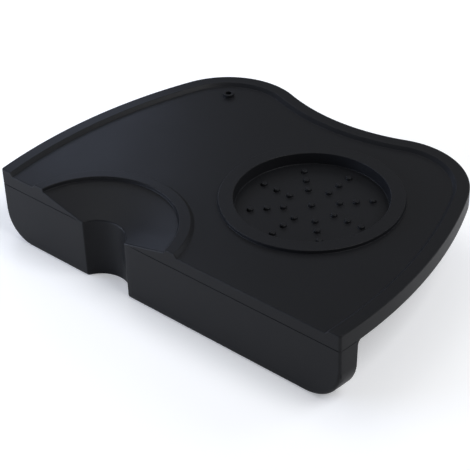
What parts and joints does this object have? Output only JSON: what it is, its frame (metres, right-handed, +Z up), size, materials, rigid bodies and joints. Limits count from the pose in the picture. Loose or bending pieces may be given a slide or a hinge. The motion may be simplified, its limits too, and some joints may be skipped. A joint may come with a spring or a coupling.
{
  "type": "tamper mat",
  "caption": "Moulded rubber tamping mat that hooks over a counter's edge, with a studded round tamper seat, a spout rest and a notched front apron.",
  "frame": {"origin": "on the pad's flat underside, below the middle of the mat's width and depth, where it lies on the counter", "axes": "+X along the front from the spout rest to the tamper seat, +Y from the apron back over the counter, +Z up"},
  "size_m": [0.2, 0.1374, 0.0377],
  "materials": {
    "rubber": "matt, finely textured"
  },
  "bodies": {
    "root": {"tamper_mat": "rubber"}
  },
  "joints": []
}
